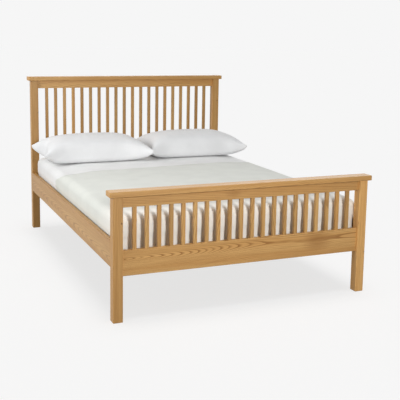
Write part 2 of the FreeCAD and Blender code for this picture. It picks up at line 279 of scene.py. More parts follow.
class Timber:
    """One sort of wood; its colours and the width of its rings come from the settings."""

    def __init__(self, name, rings, roughness, pores, coat=0.0):
        timber = bpy.context.scene.bed_timber
        self.name = name
        self.plain = getattr(timber, name)
        self.ring = getattr(timber, rings + "_ring")
        self.pale = getattr(timber, rings + "_pale")
        self.ring_width = getattr(timber, rings + "_ring_width")
        self.roughness = roughness
        self.pores = pores
        self.coat = coat


def oak():
    lacquer = bpy.context.scene.bed_timber.lacquer_roughness
    return Timber("oak", "oak", lacquer, pores=1.0, coat=0.08)


DRIFT = 34 * MM             # how far the rings sway from a straight line
RIPPLE = 3.5 * MM           # how far they waver, more finely
EARLY_WOOD = 0.10           # the dark start of each ring, as a share of it
BEND_SOFTNESS = 0.25
PIECE_SHIFT = 0.11          # how differently the bars of one material are cut
PIECE_RUN = 7.0             # how far apart along the grain they are cut


def timber_material(name, wood, grain, heart, lean=(0.0, 0.0), tone=1.0, seed=0.0, knots=(),
                    clouds=(), pieces=None, bend=None, pinch=1.0, figure=1.0):
    """Sawn wood whose grain runs along one axis.

    The rings stand round a heart line beside the board: heart is its place across and through the
    board, and lean how far it wanders for each metre along, up to the bend, past which it runs
    straight; pinch sharpens the arches and figure darkens them. Knots are (spot, radius,
    strength), with the spot along, across and through the board, and clouds (along, across,
    radius, strength). With pieces, (first, pitch) along X, each bar has its own cut and tone.
    """
    paint = Paint(name)
    x, y, z = paint.split(paint.point())
    along, across, through = {"X": (x, z, y), "Y": (y, z, x), "Z": (z, x, y)}[grain]
    tint = (tone, tone, tone)
    if pieces:
        first, pitch = pieces
        bar = ((x - (first - pitch / 2)) / pitch).floor() + 50 * (y > 0.0)
        chance = paint.chance(bar + 0.5)
        second = paint.chance(bar * 1.7 + 9.3)
        own_tone = tone * (0.87 + 0.22 * chance)
        tint = paint.vector(own_tone * (0.97 + 0.06 * second), own_tone, own_tone * (1.04 - 0.10 * second))
        across = across - bar * pitch + PIECE_SHIFT * (second - 0.5)
        along = along + PIECE_RUN * chance
    long_way = along + seed

    def grain_noise(per_metre, across_per_metre, detail, roughness=0.5):
        """Noise stretched along the grain."""
        place = paint.vector(long_way * per_metre, across * across_per_metre, through * across_per_metre)
        return paint.noise(place, detail=detail, roughness=roughness)

    def apart(spot, squeeze):
        """How far a point is from a spot, counting less along the grain."""
        offset = (along - spot[0]) * squeeze
        rise = across - spot[1]
        sink = through - spot[2]
        return (offset * offset + rise * rise + sink * sink).root()

    sway = grain_noise(1.6, 9.0, detail=1.0) - 0.5
    ripple = grain_noise(9.0, 60.0, detail=2.0) - 0.5
    drift = DRIFT * sway + RIPPLE * ripple
    leaning = along if bend is None else along.soft_least(bend, BEND_SOFTNESS)
    side = (across - heart[0] - lean[0] * leaning + drift) * pinch
    depth = through - heart[1] - lean[1] * leaning + drift * 0.6
    radius = (side * side + depth * depth).root()
    for spot, size, strength in knots:
        radius = radius + apart(spot, 0.55).ramp(0, 4.5 * size, 2.2 * size * strength, 0.0)
    rings = radius / wood.ring_width
    ring = rings.fraction()
    early = ring.ramp(0.0, EARLY_WOOD) * ring.ramp(EARLY_WOOD, 0.60, 1.0, 0.0)
    fibre = grain_noise(7.0, 330.0, detail=3.0, roughness=0.6)
    fine = grain_noise(30.0, 1500.0, detail=1.0)
    bands = grain_noise(0.9, 26.0, detail=2.0)
    streaks = grain_noise(3.6, 120.0, detail=2.0)
    pores = fine.ramp(0.58, 0.72) * (0.25 + 0.75 * early) * wood.pores
    ring_mark = early * (0.45 + 0.55 * paint.chance(rings.floor())) * fibre.ramp(0.30, 0.62, 0.55, 1.0)
    shade = paint.mix(bands.ramp(0.36, 0.70, 0.1, 0.75), wood.plain, wood.pale)
    marks = [streaks.ramp(0.52, 0.78, 0.0, 0.26), (ring_mark * (0.9 * figure)).least(1.0),
             fibre.ramp(0.45, 0.75, 0.0, 0.30), pores * 0.45]
    for cloud_along, cloud_across, size, strength in clouds:
        offset = (along - cloud_along) * 0.62
        rise = across - cloud_across + 0.02 * sway
        smoke = (offset * offset + rise * rise).root().ramp(0.15 * size, size, strength, 0.0)
        marks.append(smoke * fibre.ramp(0.2, 0.7, 0.55, 1.0))
    for mark in marks:
        shade = paint.mix(mark, shade, wood.ring)
    for spot, size, strength in knots:
        near = apart(spot, 0.8) + 2 * MM * ripple
        mark = near.ramp(0.35 * size, size, 0.9 * strength, 0.0)
        shade = paint.mix(mark, shade, bpy.context.scene.bed_timber.knot)
    shade = paint.mix(1.0, shade, tint, blend="MULTIPLY")
    height = 0.5 * fibre - 0.9 * pores - 0.35 * early
    return paint.surface(Base_Color=shade, Roughness=wood.roughness + 0.10 * fibre + 0.10 * pores,
                         Normal=paint.bump(height, 0.25 * MM, 0.55), Coat_Weight=wood.coat,
                         Coat_Roughness=0.28, Specular_IOR_Level=0.34)


def assign(node_name, material):
    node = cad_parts[node_name]
    node.data.materials.clear()
    node.data.materials.append(material)


def finish(name, wood, grain, **cut):
    """Gives a piece of the frame its own cut of a wood."""
    assign(name, timber_material(wood.name + "_" + name, wood, grain, **cut))


# ---- metal and cloth

def zinc_material():
    fixings = bpy.context.scene.bed_fixings
    paint = Paint("zinc_plate")
    point = paint.point()
    spangle = paint.noise(point, scale=220.0, detail=3.0)
    smear = paint.noise(point, scale=35.0, detail=2.0)
    shade = paint.mix(smear.ramp(0.35, 0.7, 0.0, 0.5), fixings.zinc, fixings.zinc_dull)
    return paint.surface(Base_Color=shade, Metallic=1.0, Roughness=0.26 + 0.22 * spangle,
                         Normal=paint.bump(spangle, 0.05 * MM, 0.4))


CREASE_SHADE = 0.912        # the tone of creases and gaps between threads
THREAD_STRETCH = 0.12       # a thread's width as a share of how far it keeps its tone
# where the painted light at the top sheet's foot end is full, and where it has faded out towards the head
PAINTED_FOOT_LIGHT_START = MATTRESS_LOW.y + 80 * MM
PAINTED_FOOT_LIGHT_END = MATTRESS_LOW.y + 340 * MM


def cotton_material(name, base, thread=0.5 * MM, crease=0.5 * MM, foot=None):
    """Plain woven cotton: crossing threads on the cloth's own flat coordinates, and soft creases.

    With foot, that colour takes over near the foot of the bed as painted light: a brighter, warmer tone for
    the light that reaches the foot end and bounces off the oak.
    """
    paint = Paint(name)
    across, along, _ = paint.split(paint.node("UVMap", {"uv_map": "cut"}))
    per_thread = 1 / thread
    slow = per_thread * THREAD_STRETCH
    warp = paint.noise(paint.vector(across * per_thread, along * slow, 0.0), detail=1.0)
    weft = paint.noise(paint.vector(across * slow, along * per_thread, 5.0), detail=1.0)
    weave = warp.most(weft)
    point = paint.point()
    soft = paint.noise(point, scale=9.0, detail=2.0)
    rumple = paint.noise(point, scale=42.0, detail=3.0, roughness=0.55)
    deep = tuple(channel * CREASE_SHADE for channel in base)
    shade = paint.mix(soft.ramp(0.3, 0.7, 0.0, 0.6), base, deep)
    shade = paint.mix(weave.ramp(0.45, 0.75, 0.0, 0.25), shade, deep)
    # painted light: the cloth turns brighter and warmer towards the foot of the bed
    if foot:
        y = paint.split(point)[1]
        shade = paint.mix(y.ramp(PAINTED_FOOT_LIGHT_START, PAINTED_FOOT_LIGHT_END, 0.9, 0.0), shade, foot)
    normal = paint.bump(weave, 0.06 * MM, 0.5, Normal=paint.bump(rumple, crease, 0.5))
    return paint.surface(Base_Color=shade, Roughness=0.86, Normal=normal, Sheen_Weight=0.15,
                         Sheen_Roughness=0.5, Specular_IOR_Level=0.25)


# ---- mesh helpers

def put(thing, **settings):
    """Gives a thing several settings."""
    for name, value in settings.items():
        setattr(thing, name, value)


def new_object(name, data, material=None):
    made = bpy.data.objects.new(name, data)
    bpy.context.scene.collection.objects.link(made)
    if material:
        data.materials.append(material)
    return made


def finished_mesh(shape, name):
    """The mesh of a bmesh, which is given up."""
    mesh = bpy.data.meshes.new(name)
    shape.to_mesh(mesh)
    shape.free()
    return mesh


def square(name, reach, z=0.0):
    """A flat square round the origin, as a new object."""
    mesh = bpy.data.meshes.new(name)
    corners = [(-reach, -reach, z), (reach, -reach, z), (reach, reach, z), (-reach, reach, z)]
    mesh.from_pydata(corners, [], [(0, 1, 2, 3)])
    return new_object(name, mesh)


def quads(grid):
    """The faces between the points of a grid, row by row."""
    return [(low[n], low[n + 1], high[n + 1], high[n])
            for low, high in zip(grid, grid[1:]) for n in range(len(low) - 1)]


def smooth(mesh):
    for polygon in mesh.polygons:
        polygon.use_smooth = True


def settle(source, name):
    """The plain mesh of an object with its modifiers in it, as a new object; the source goes."""
    graph = bpy.context.evaluated_depsgraph_get()
    graph.update()
    mesh = bpy.data.meshes.new_from_object(source.evaluated_get(graph), depsgraph=graph)
    mesh.transform(source.matrix_world)
    bpy.data.objects.remove(source)
    mesh.name = name
    return new_object(name, mesh)


def smoothstep(value):
    value = min(max(value, 0.0), 1.0)
    return value * value * (3 - 2 * value)


def inside_distance(x, y, half_x, half_y, radius):
    """How far a point lies inside a rectangle with round corners; negative outside."""
    dx = abs(x) - (half_x - radius)
    dy = abs(y) - (half_y - radius)
    outside = math.hypot(max(dx, 0.0), max(dy, 0.0))
    return radius - outside - min(max(dx, dy), 0.0)


# ---- mattress and sheets

SIDE_SWELL = 9 * MM         # how far the filled mattress stands out past its solid, above the side rails
END_SWELL = 2 * MM          # the same at its head and foot
TOP_TUCK = 3 * MM           # from the solid's top down to the mattress's own cover
RAIL_NIP = 6 * MM           # how much the side rails nip the mattress in
NIP_START = SIDE_RAIL_HIGH.z + 25 * MM
NIP_RUN = 30 * MM           # the height over which the nip comes in
MATTRESS_CROWN = 12 * MM
CROWN_RUN = 190 * MM        # from the edge roll to where the crown is full
LOW_ROLL = 11 * MM          # rounding of the lower edge
LEAST_RADIUS = 16 * MM      # of the corners in plan, however far in
ROLL_STEPS = 6
SIDE_STEPS = 12
LOW_STEPS = 4
TUCK_STEPS = 3


class Wrap:
    """The skin of the mattress: a top panel, an edge roll, upright sides and a turn underneath."""

    def __init__(self, columns, rows, outset, sink=0.0):
        bedding = bpy.context.scene.bed_bedding
        self.columns = columns
        self.rows = rows
        self.half_x = (MATTRESS_HIGH.x - MATTRESS_LOW.x) / 2 + SIDE_SWELL + outset
        self.half_y = (MATTRESS_HIGH.y - MATTRESS_LOW.y) / 2 + END_SWELL + outset
        self.radius = bedding.corner_radius
        self.roll = bedding.edge_roll
        self.top = MATTRESS_HIGH.z - TOP_TUCK + outset
        self.bottom = MATTRESS_LOW.z + bedding.under_clearance - outset - sink

    def outline(self, inset):
        """Points round the mattress at an inset, as many to each side as the panel has edges."""
        half_x = self.half_x - inset
        half_y = self.half_y - inset
        radius = max(self.radius - inset, LEAST_RADIUS)
        quarter = math.pi / 2 * radius
        sides = ((self.columns, half_x, half_y), (self.rows, half_y, half_x))
        points = []
        for turn in range(4):
            count, half_side, reach = sides[turn % 2]
            straight = 2 * (half_side - radius)
            run = straight + quarter
            for step in range(count):
                place = run * step / count - quarter / 2
                level = min(max(place, 0.0), straight)
                angle = (place - level) / radius
                across = level - straight / 2 + radius * math.sin(angle)
                points.append(self.turned(across, reach - radius + radius * math.cos(angle), turn))
        return points

    def turned(self, across, out, turn):
        """Turns a point of the side that faces -Y on to its own side, going round from the foot."""
        return [(across, -out), (out, across), (-across, out), (-out, -across)][turn]

    def height(self, x, y):
        inside = inside_distance(x, y, self.half_x, self.half_y, self.radius)
        rise = smoothstep((inside - self.roll) / CROWN_RUN)
        return self.top - MATTRESS_CROWN * (1 - rise)

    def panel_point(self, column, row, ring):
        """A point of the panel from its four edges, by blending opposite edges."""
        c, r = self.columns, self.rows
        u = column / c
        v = row / r
        foot = ring[column]
        right = ring[c + row]
        head = ring[2 * c + r - column]
        left = ring[(2 * c + 2 * r - row) % len(ring)]
        corners = (ring[0], ring[c], ring[c + r], ring[2 * c + r])
        point = []
        for axis in (0, 1):
            edges = (1 - v) * foot[axis] + v * head[axis] + (1 - u) * left[axis] + u * right[axis]
            blend = ((1 - u) * (1 - v) * corners[0][axis] + u * (1 - v) * corners[1][axis]
                     + u * v * corners[2][axis] + (1 - u) * v * corners[3][axis])
            point.append(edges - blend)
        return point

    def profile(self, tuck):
        """(inset, height) from the panel's edge, round the roll, down the side and under."""
        edge = self.top - MATTRESS_CROWN
        side_top = edge - self.roll
        side_low = self.bottom + LOW_ROLL
        steps = []
        for n in range(1, ROLL_STEPS + 1):
            angle = math.radians(90 * n / ROLL_STEPS)
            steps.append((self.roll * (1 - math.sin(angle)), edge - self.roll * (1 - math.cos(angle))))
        for n in range(1, SIDE_STEPS + 1):
            z = side_top + (side_low - side_top) * n / SIDE_STEPS
            steps.append((RAIL_NIP * smoothstep((NIP_START - z) / NIP_RUN), z))
        for n in range(1, LOW_STEPS + 1):
            angle = math.radians(90 * n / LOW_STEPS)
            steps.append((RAIL_NIP + LOW_ROLL * (1 - math.cos(angle)), side_low - LOW_ROLL * math.sin(angle)))
        for n in range(1, TUCK_STEPS + 1):
            steps.append((RAIL_NIP + LOW_ROLL + tuck * n / TUCK_STEPS, self.bottom))
        return steps

    def build(self, name, tuck, closed=False):
        """The wrap as a mesh, open underneath or closed, with its flat coordinates as UVs."""
        shape = bmesh.new()
        cut = shape.loops.layers.uv.new("cut")
        ring = self.outline(self.roll)
        flat = {}

        def point(x, y, z, u, v):
            vertex = shape.verts.new((x, y, z))
            flat[vertex] = (u, v)
            return vertex

        panel = []
        for row in range(self.rows + 1):
            line = []
            for column in range(self.columns + 1):
                x, y = self.panel_point(column, row, ring)
                line.append(point(x, y, self.height(x, y), x, y))
            panel.append(line)
        last = ([panel[0][c] for c in range(self.columns)]
                + [panel[r][self.columns] for r in range(self.rows)]
                + [panel[self.rows][c] for c in range(self.columns, 0, -1)]
                + [panel[r][0] for r in range(self.rows, 0, -1)])
        faces = quads(panel)
        run = 0.0
        before = (self.roll, self.top - MATTRESS_CROWN)
        for inset, z in self.profile(tuck):
            run += math.hypot(inset - before[0], z - before[1])
            before = (inset, z)
            here = []
            for (x, y), (ring_x, ring_y) in zip(self.outline(inset), ring):
                out = Vector((x - ring_x, y - ring_y)).normalized()
                here.append(point(x, y, z, ring_x + out.x * run, ring_y + out.y * run))
            for n in range(len(here)):
                faces.append((last[n - 1], here[n - 1], here[n], last[n]))
            last = here
        if closed:
            faces.append(tuple(reversed(last)))
        for corners in faces:
            face = shape.faces.new(corners)
            for loop in face.loops:
                loop[cut].uv = flat[loop.vert]
        bmesh.ops.recalc_face_normals(shape, faces=shape.faces)
        mesh = finished_mesh(shape, name)
        smooth(mesh)
        return mesh


def ripple_cloth(mesh, amount, seed, scale=6.0):
    """Moves each point along its normal by a slow noise, as laid cloth lies a little uneven."""
    normals = [vertex.normal.copy() for vertex in mesh.vertices]
    for vertex, normal in zip(mesh.vertices, normals):
        place = vertex.co * scale
        lift = noise.noise(place + Vector((seed, seed * 0.7, 3.1)))
        lift += 0.5 * noise.noise(place * 2.3 + Vector((seed, 8.0, 1.7)))
        vertex.co += normal * (lift * amount)


def cloth_object(name, mesh, material):
    """A sheet as an object, as thick as its cotton."""
    sheet = new_object(name, mesh, material)
    thickness = bpy.context.scene.bed_bedding.sheet_thickness
    put(sheet.modifiers.new("cloth", "SOLIDIFY"), thickness=thickness, offset=1.0, use_even_offset=True)
    return sheet


# ---- pillows

TABLE_DROP = 72 * MM        # from the empty pillowcase down to the table it is filled on
TABLE_REACH = 1.2
WRINKLE = 1.2 * MM          # how uneven the empty pillowcase lies, so that it fills unevenly
WRINKLES_PER_METRE = 14
FLAT_GAP = 0.6              # between the two panels' flat coordinates
CORNER_REACH = 190 * MM     # how far a pillowcase's corner stays slack and pointed
CORNER_LIFT_REACH = 110 * MM


def pillow_panel_shape(columns, rows, half_x, half_y, bulge):
    """Two panels sewn together round their edge, with air between them."""
    shape = bmesh.new()
    cut = shape.loops.layers.uv.new("cut")
    layers = []
    for side in (1, -1):
        layer = []
        for row in range(rows + 1):
            line = []
            for column in range(columns + 1):
                u = 2 * column / columns - 1
                v = 2 * row / rows - 1
                on_edge = column in (0, columns) or row in (0, rows)
                if side < 0 and on_edge:
                    line.append(layers[0][row][column])
                    continue
                lift = bulge * (1 - u * u) * (1 - v * v)
                line.append(shape.verts.new((u * half_x, v * half_y, side * lift)))
            layer.append(line)
        layers.append(layer)
    for side, layer in zip((1, -1), layers):
        for corners in quads(layer):
            face = shape.faces.new(corners[::side])
            for loop in face.loops:
                loop[cut].uv = (loop.vert.co.x, loop.vert.co.y + side * FLAT_GAP)
    return finished_mesh(shape, "pillowcase")


def stuffed(mesh, volume, frames, seed):
    """Fills a flat pillowcase and lets it lie down on a table, by cloth simulation."""
    scene = bpy.context.scene
    for vertex in mesh.vertices:
        place = vertex.co * WRINKLES_PER_METRE + Vector((seed, 0, 0))
        vertex.co.z += WRINKLE * noise.noise(place)
    bag = new_object("pillow_bag", mesh)
    table = square("table", TABLE_REACH, -TABLE_DROP)
    table.modifiers.new("hit", "COLLISION")
    put(table.collision, thickness_outer=2 * MM, cloth_friction=5.0)
    cloth = bag.modifiers.new("cloth", "CLOTH")
    cloth.settings.effector_weights.gravity = 0.35
    put(cloth.settings, quality=8, mass=0.35, air_damping=2.0, tension_stiffness=30,
        compression_stiffness=22, shear_stiffness=9, bending_stiffness=0.25, use_pressure=True,
        uniform_pressure_force=6.0, use_pressure_volume=True, target_volume=volume,
        pressure_factor=6.0)
    put(cloth.collision_settings, collision_quality=3, distance_min=2 * MM, use_self_collision=False)
    put(cloth.point_cache, frame_start=1, frame_end=frames)
    for number in range(1, frames + 1):
        scene.frame_set(number)
    filled = settle(bag, "pillow_filled")
    bpy.data.objects.remove(table)
    scene.frame_set(1)
    return filled


def plump(mesh, columns, rows, size, fullness):
    """Thickens the pillow towards its seams but not its corners, and keeps it flat where it lies."""
    points = [vertex.co for vertex in mesh.vertices]
    table = min(point.z for point in points)
    below_start = (columns + 1) * (rows + 1)
    pairs = []
    for row in range(1, rows):
        for column in range(1, columns):
            above = row * (columns + 1) + column
            below = below_start + (row - 1) * (columns - 1) + column - 1
            across = min(column, columns - column) / columns * size[0]
            along = min(row, rows - row) / rows * size[1]
            pairs.append((points[above], points[below], math.hypot(across, along)))
    thickest = max(above.z - below.z for above, below, _ in pairs)
    for above, below, from_corner in pairs:
        centre = (above.z + below.z) / 2
        share = max((above.z - below.z) / thickest, 0.0)
        slack = 1 - (1 - fullness) * smoothstep(from_corner / CORNER_REACH)
        above.z = centre + thickest * share ** slack / 2
        below.z = max(centre - thickest * share ** fullness / 2, table)


def softened(mesh, corners, times):
    """Eases dents by moving points towards the middle of their neighbours, less so at the corners."""
    points = [vertex.co.copy() for vertex in mesh.vertices]
    tips = [points[number] for number in corners]
    neighbours = [[] for _ in points]
    for edge in mesh.edges:
        first, second = edge.vertices
        neighbours[first].append(second)
        neighbours[second].append(first)
    shares = [0.5 * smoothstep(min((point - tip).length for tip in tips) / CORNER_REACH) for point in points]
    for _ in range(times):
        eased = []
        for point, others, share in zip(points, neighbours, shares):
            centre = sum((points[other] for other in others), Vector()) / len(others)
            eased.append(point.lerp(centre, share))
        points = eased
    for vertex, point in zip(mesh.vertices, points):
        vertex.co = point


def drawn_out(mesh, corners, places):
    """Pulls the four corners to their places, and the cloth near them along."""
    for number, place in zip(corners, places):
        tip = mesh.vertices[number].co.copy()
        offset = place - tip
        for vertex in mesh.vertices:
            apart = (vertex.co - tip).length
            spread = smoothstep(1 - apart / CORNER_REACH)
            lift = smoothstep(1 - apart / CORNER_LIFT_REACH)
            vertex.co += Vector((spread * offset.x, spread * offset.y, lift * offset.z))


def fitted_to(mesh, low, high):
    """Scales a mesh a little so that it takes the room between two corners."""
    points = [vertex.co for vertex in mesh.vertices]
    least = Vector([min(p[axis] for p in points) for axis in range(3)])
    most = Vector([max(p[axis] for p in points) for axis in range(3)])
    for vertex in mesh.vertices:
        for axis in range(3):
            share = (vertex.co[axis] - least[axis]) / (most[axis] - least[axis])
            vertex.co[axis] = low[axis] + share * (high[axis] - low[axis])


# ---- operators: finishes

class BED_OT_finish_boards(bpy.types.Operator):
    """Lacquered oak on the posts, rails and caps of both boards"""
    bl_idname = "bed.finish_boards"
    bl_label = "Finish the boards"

    def execute(self, context):
        wood = oak()
        foot_y, head_y = FOOT_RAIL_LOW.y, HEAD_RAIL_HIGH.y
        low, high = FOOT_RAIL_LOW.z, FOOT_RAIL_HIGH.z
        finish("foot_bottom_rail", wood, "X", heart=(high - 0.034, foot_y + 0.058), lean=(0.02, 0.08),
               bend=0.05, pinch=1.1, figure=1.55, tone=1.08, seed=2.0,
               clouds=((0.42, high - 0.045, 0.075, 0.75),))
        finish("foot_top_rail", wood, "X", heart=(0.50, foot_y + 0.2), lean=(0.01, 0.03), seed=5.0,
               clouds=((-0.08, 0.60, 0.035, 0.5),))
        boards = (("foot_cap", (0.55, foot_y - 0.12), (0.02, 0.04), 1.04, 9.0),
                  ("head_bottom_rail", (low + 0.06, head_y + 0.05), (0.0, 0.05), 1.03, 13.0),
                  ("head_top_rail", (0.95, head_y + 0.16), (0.01, -0.04), 1.17, 17.0),
                  ("head_cap", (0.98, head_y - 0.14), (-0.02, 0.03), 1.12, 21.0))
        for name, heart, lean, tone, seed in boards:
            finish(name, wood, "X", heart=heart, lean=lean, tone=tone, seed=seed)
        posts = (("foot_post_left", (-0.76, -0.93), (0.01, 0.02), 0.96, 3.0, (0.493, -0.672)),
                 ("foot_post_right", (0.62, -1.08), (0.02, 0.015), 1.30, 7.0, (0.223, 0.712)),
                 ("head_post_left", (-0.78, 0.93), (0.02, 0.02), 0.95, 11.0, (0.825, -0.668)),
                 ("head_post_right", (0.60, 0.95), (0.02, -0.02), 1.06, 15.0, (0.883, 0.703)))
        for name, heart, lean, tone, seed, knot in posts:
            spot = (*knot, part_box(name)[0].y + 2 * MM)
            finish(name, wood, "Z", heart=heart, lean=lean, tone=tone, seed=seed,
                   knots=((spot, 6 * MM, 0.9),))
        return {"FINISHED"}


class BED_OT_finish_spindles(bpy.types.Operator):
    """Oak on the spindles, each with its own cut and tone"""
    bl_idname = "bed.finish_spindles"
    bl_label = "Finish the spindles"

    def execute(self, context):
        first = FIRST_SPINDLE.x
        boards = (("foot", FOOT_SPINDLES, FIRST_SPINDLE.y + 0.07, 0.98),
                  ("head", ["head_spindles"], -FIRST_SPINDLE.y + 0.08, 0.92))
        for board, names, depth, tone in boards:
            material = timber_material("oak_spindles_" + board, oak(), "Z", heart=(first, depth),
                                       lean=(0.02, 0.03), tone=tone, pieces=(first, SECOND_SPINDLE.x - first))
            for name in names:
                assign(name, material)
        return {"FINISHED"}


class BED_OT_finish_side_rails(bpy.types.Operator):
    """Oak on the two side rails"""
    bl_idname = "bed.finish_side_rails"
    bl_label = "Finish the side rails"

    def execute(self, context):
        heart_z = middle(SIDE_RAIL_LOW, SIDE_RAIL_HIGH).z - 0.02
        for side, x, seed in (("left", SIDE_RAIL_LOW.x, 4.0), ("right", -SIDE_RAIL_LOW.x, 8.0)):
            finish("side_rail_" + side, oak(), "Y", heart=(heart_z, x * 0.9), lean=(0.0, 0.035),
                   tone=0.88, seed=seed)
        return {"FINISHED"}


def slat_knots(number, low, high):
    """A knot in every third slat, at a place of its own."""
    if number % 3:
        return ()
    along = low.x + (0.18 + 0.61 * ((number * 0.37) % 1)) * (high.x - low.x)
    across = low.y + (0.3 + 0.4 * ((number * 0.23) % 1)) * (high.y - low.y)
    return (((along, high.z - 2 * MM, across), 8 * MM, 0.8),)


class BED_OT_finish_base(bpy.types.Operator):
    """Planed pine on the slats, battens and centre rail, and beech on the dowels"""
    bl_idname = "bed.finish_base"
    bl_label = "Finish the base"

    def execute(self, context):
        wood = Timber("pine", "pine", roughness=0.62, pores=0.0)
        for number, name in enumerate(SLATS):
            low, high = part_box(name)
            heart = (low.z - 0.05 - 0.01 * (number % 3), middle(low, high).y + 0.02 * ((number % 5) - 2))
            finish(name, wood, "X", heart=heart, lean=(0.02 * ((number % 3) - 1), 0.015),
                   tone=1.0 - 0.03 * (number % 4), seed=3.0 * number, knots=slat_knots(number, low, high))
        for name in ("slat_batten_left", "slat_batten_right", "centre_rail"):
            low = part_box(name)[0]
            finish(name, wood, "Y", heart=(low.z - 0.06, low.x + 0.05), lean=(0.01, 0.02), tone=0.97,
                   seed=low.x * 9)
        for name in ("centre_leg_head", "centre_leg_foot"):
            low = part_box(name)[0]
            finish(name, wood, "Z", heart=(low.x - 0.05, low.y - 0.04), lean=(0.02, 0.01), seed=low.y)
        finish("dowels", Timber("beech", "pine", roughness=0.6, pores=0.3), "Y", heart=(0.25, 0.60))
        return {"FINISHED"}


class BED_OT_finish_fixings(bpy.types.Operator):
    """Zinc plate on the studs, washers, nuts and cradles"""
    bl_idname = "bed.finish_fixings"
    bl_label = "Finish the fixings"

    def execute(self, context):
        material = zinc_material()
        for name in ("rail_bolts", "half_moon_washers", "bolt_nuts", "centre_rail_hangers"):
            assign(name, material)
        return {"FINISHED"}


# ---- operators: screws

SCREW_SIDES = 16
RIM_DROP = 0.35 * MM
CROSS_RISE = 0.12 * MM
HANGER_WING = 16 * MM       # width of a cradle's screwed wing
HANGER_PLATE = 2.5 * MM     # thickness of its plate


def screw_head_mesh(radius, recess, depth):
    """A countersunk screw's head, seen from above: a low dome with a cross recess."""
    shape = bmesh.new()

    def circle(size, z):
        turns = [TAU * n / SCREW_SIDES for n in range(SCREW_SIDES)]
        return [shape.verts.new((size * math.cos(turn), size * math.sin(turn), z)) for turn in turns]

    def wall(upper, lower):
        for n in range(len(upper)):
            shape.faces.new((upper[n - 1], lower[n - 1], lower[n], upper[n]))
        shape.faces.new(lower)

    rim = circle(radius, -RIM_DROP)
    skirt = circle(0.55 * radius, -RIM_DROP - 0.45 * radius)
    arm = recess / 2
    wide = recess / 7
    cross = []
    for quarter in range(4):
        turn = Matrix.Rotation(math.pi / 2 * quarter, 3, "Z")
        for x, y in ((arm, -wide), (arm, wide), (wide, wide)):
            cross.append(turn @ Vector((x, y, CROSS_RISE)))
    top = [shape.verts.new(point) for point in cross]
    floor = [shape.verts.new((point.x * 0.55, point.y * 0.55, -depth)) for point in cross]
    wall(top, floor)
    wall(rim, skirt)
    edges = [shape.edges.get((loop[n - 1], loop[n])) for loop in (top, rim) for n in range(len(loop))]
    bmesh.ops.bridge_loops(shape, edges=edges)
    bmesh.ops.recalc_face_normals(shape, faces=shape.faces)
    return finished_mesh(shape, "screw_head")


def screw_tree():
    """A node tree that puts a screw on each point of a mesh, turned to face along its normal."""
    tree = bpy.data.node_groups.new("screw_pattern", "GeometryNodeTree")
    sockets = (("Geometry", "Geometry"), ("Screw", "Object"), ("Seed", "Int"), ("Finish", "Material"))
    for name, kind in sockets:
        tree.interface.new_socket(name, in_out="INPUT", socket_type="NodeSocket" + kind)
    tree.interface.new_socket("Geometry", in_out="OUTPUT", socket_type="NodeSocketGeometry")
    graph = Graph(tree, family="")
    source = graph.node("NodeGroupInput", output="Geometry")
    screw = graph.node("GeometryNodeObjectInfo", inputs={"Object": source.other("Screw")}, output="Geometry")
    normal = graph.node("GeometryNodeInputNormal", output="Normal")
    aim = graph.node("FunctionNodeAlignRotationToVector", {"axis": "Z"}, {"Vector": normal})
    spin = graph.node("FunctionNodeRandomValue", {"data_type": "FLOAT"},
                      {"Max": TAU, "Seed": source.other("Seed")}, output="Value")
    turn = graph.node("ShaderNodeCombineXYZ", inputs={"Z": spin})
    facing = graph.node("FunctionNodeRotateRotation", {"rotation_space": "LOCAL"},
                        {"Rotation": aim, "Rotate By": turn})
    screws = graph.node("GeometryNodeInstanceOnPoints",
                        inputs={"Points": source, "Instance": screw, "Rotation": facing})
    real = graph.node("GeometryNodeRealizeInstances", inputs={"Geometry": screws})
    plated = graph.node("GeometryNodeSetMaterial",
                        inputs={"Geometry": real, "Material": source.other("Finish")})
    graph.node("NodeGroupOutput", inputs={"Geometry": plated})
    return tree


def set_input(modifier, name, value):
    """Sets an input of a modifier's node tree, by the identifier of the socket with that name."""
    sockets = [item for item in modifier.node_group.interface.items_tree if item.in_out == "INPUT"]
    modifier[next(socket.identifier for socket in sockets if socket.name == name)] = value


def screw_spots():
    """(place, direction) of every screw's head: slats, battens and cradles."""
    fixings = bpy.context.scene.bed_fixings
    spots = []
    for name in SLATS:
        low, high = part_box(name)
        y = middle(low, high).y
        for x in (low.x + fixings.slat_screw_inset, high.x - fixings.slat_screw_inset):
            spots.append((Vector((x, y, high.z)), Vector((0, 0, 1))))
    for side in (1, -1):
        z = middle(BATTEN_LOW, BATTEN_HIGH).z
        for n in range(fixings.batten_screws):
            y = BATTEN_LOW.y + (BATTEN_HIGH.y - BATTEN_LOW.y) * (n + 0.5) / fixings.batten_screws
            spots.append((Vector((-side * BATTEN_HIGH.x, y, z)), Vector((-side, 0, 0))))
    hanger_low, hanger_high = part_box("centre_rail_hangers")
    z = middle(hanger_low, hanger_high).z
    for end in (1, -1):
        for side in (1, -1):
            x = side * (hanger_high.x - HANGER_WING / 2)
            y = end * (hanger_high.y - HANGER_PLATE)
            spots.append((Vector((x, y, z)), Vector((0, -end, 0))))
    return spots


